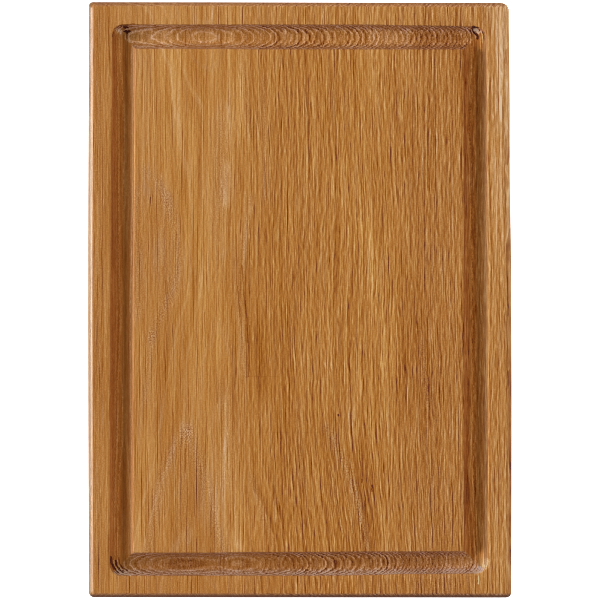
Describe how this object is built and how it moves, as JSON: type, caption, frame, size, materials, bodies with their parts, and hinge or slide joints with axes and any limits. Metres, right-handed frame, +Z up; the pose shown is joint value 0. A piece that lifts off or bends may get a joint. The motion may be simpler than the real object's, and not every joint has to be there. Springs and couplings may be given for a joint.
{
  "type": "serving board",
  "caption": "Flat rectangular wooden serving board with bevelled edges and a round-bottomed juice groove near the edge of its upper face.",
  "frame": {"origin": "centre of the flat underside, where the board rests", "axes": "+Z up through the board, out of the face with the groove; +Y along the long side and the grain, towards the edge at the top of the picture; +X to the right in the picture"},
  "size_m": [0.249, 0.35, 0.02],
  "materials": {
    "oak": "oiled, satin"
  },
  "bodies": {
    "root": {"serving_board": "oak"}
  },
  "joints": []
}
